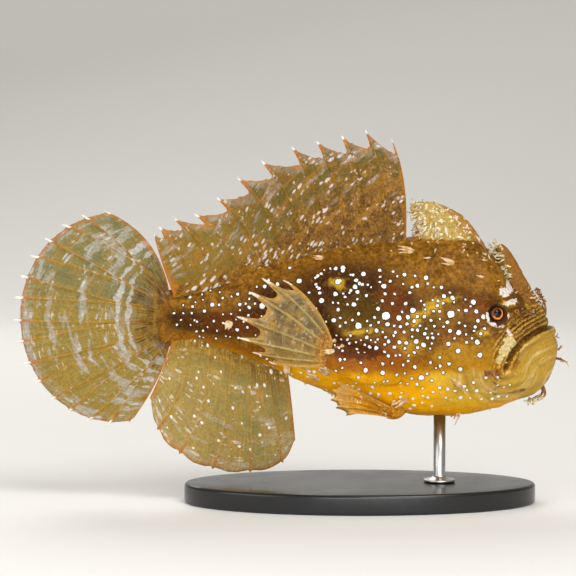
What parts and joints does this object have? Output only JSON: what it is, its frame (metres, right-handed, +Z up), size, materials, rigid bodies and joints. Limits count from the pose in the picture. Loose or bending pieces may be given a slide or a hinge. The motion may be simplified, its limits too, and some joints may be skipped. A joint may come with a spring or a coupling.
{
  "type": "sargassum fish model",
  "caption": "Life-size still model of a sargassum frogfish with leafy skin flaps, spread ragged fins and arm-like pectorals, on a plain oval display stand.",
  "frame": {"origin": "centre of the stand base's flat underside, on the surface that the model rests on", "axes": "+X from the tail towards the snout, +Y to the fish's left, +Z up"},
  "size_m": [0.1394, 0.05, 0.0932],
  "materials": {
    "skin": "moist golden-brown painted skin with white spots",
    "fin": "thin translucent amber membrane with raised rays",
    "eye": "clear gloss over a dark pupil and orange iris",
    "base": "satin black acrylic",
    "rod": "fine brushed"
  },
  "bodies": {
    "root": {"head": "skin", "lower_jaw": "skin", "trunk": "skin", "tail_stalk": "skin", "pectoral_arm_right": "skin", "pectoral_arm_left": "skin", "second_dorsal_spine": "skin", "third_dorsal_spine": "skin", "illicium": "skin", "eye_right": "eye", "eye_left": "eye", "dorsal_fin": "fin", "anal_fin": "fin", "caudal_fin": "fin", "pectoral_fin_right": "fin", "pectoral_fin_left": "fin", "pelvic_fin_right": "fin", "pelvic_fin_left": "fin", "stand_base": "base", "stand_rod": "rod"}
  },
  "joints": []
}
